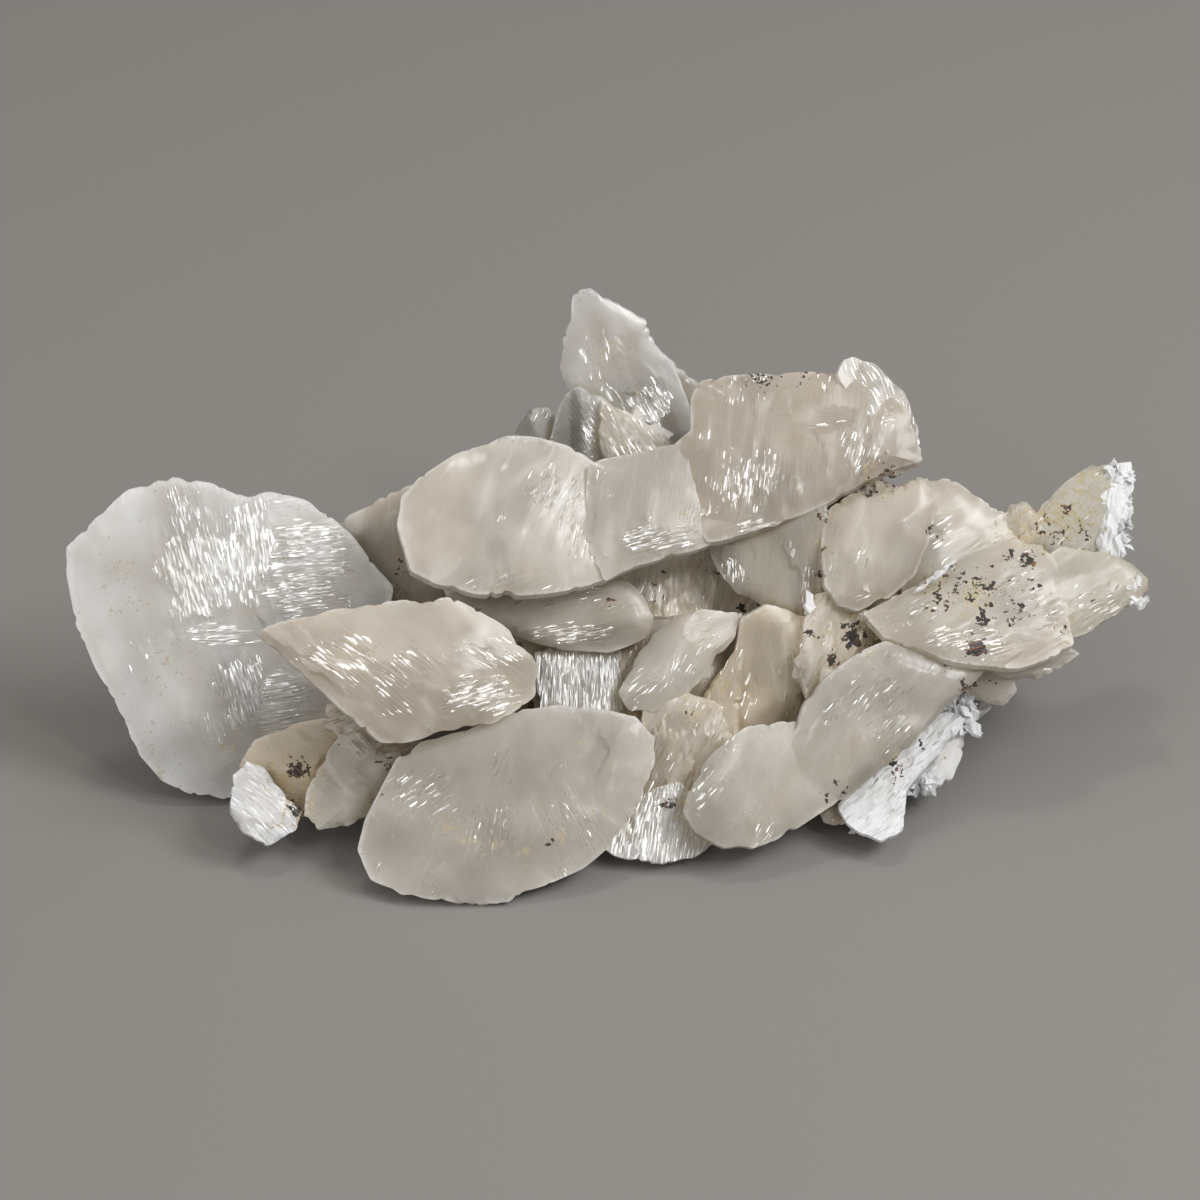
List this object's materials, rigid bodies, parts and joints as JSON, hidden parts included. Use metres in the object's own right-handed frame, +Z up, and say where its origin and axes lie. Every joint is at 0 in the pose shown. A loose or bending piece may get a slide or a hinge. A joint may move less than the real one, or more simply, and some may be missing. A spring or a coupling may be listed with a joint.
{
  "type": "calcite cluster",
  "caption": "Cluster of thin lens-shaped and slab-shaped translucent crystals grown together, cut off flat below, a display mineral that rests on its base.",
  "frame": {"origin": "centre of the bounding box on the plane that the cluster rests on", "axes": "+X along the cluster, from the large disc at its left end to the stained tips at its right end; -Y toward the show side; +Z up"},
  "size_m": [0.1681, 0.0917, 0.0628],
  "materials": {
    "calcite": "satin, translucent"
  },
  "bodies": {
    "root": {"calcite_cluster": "calcite"}
  },
  "joints": []
}
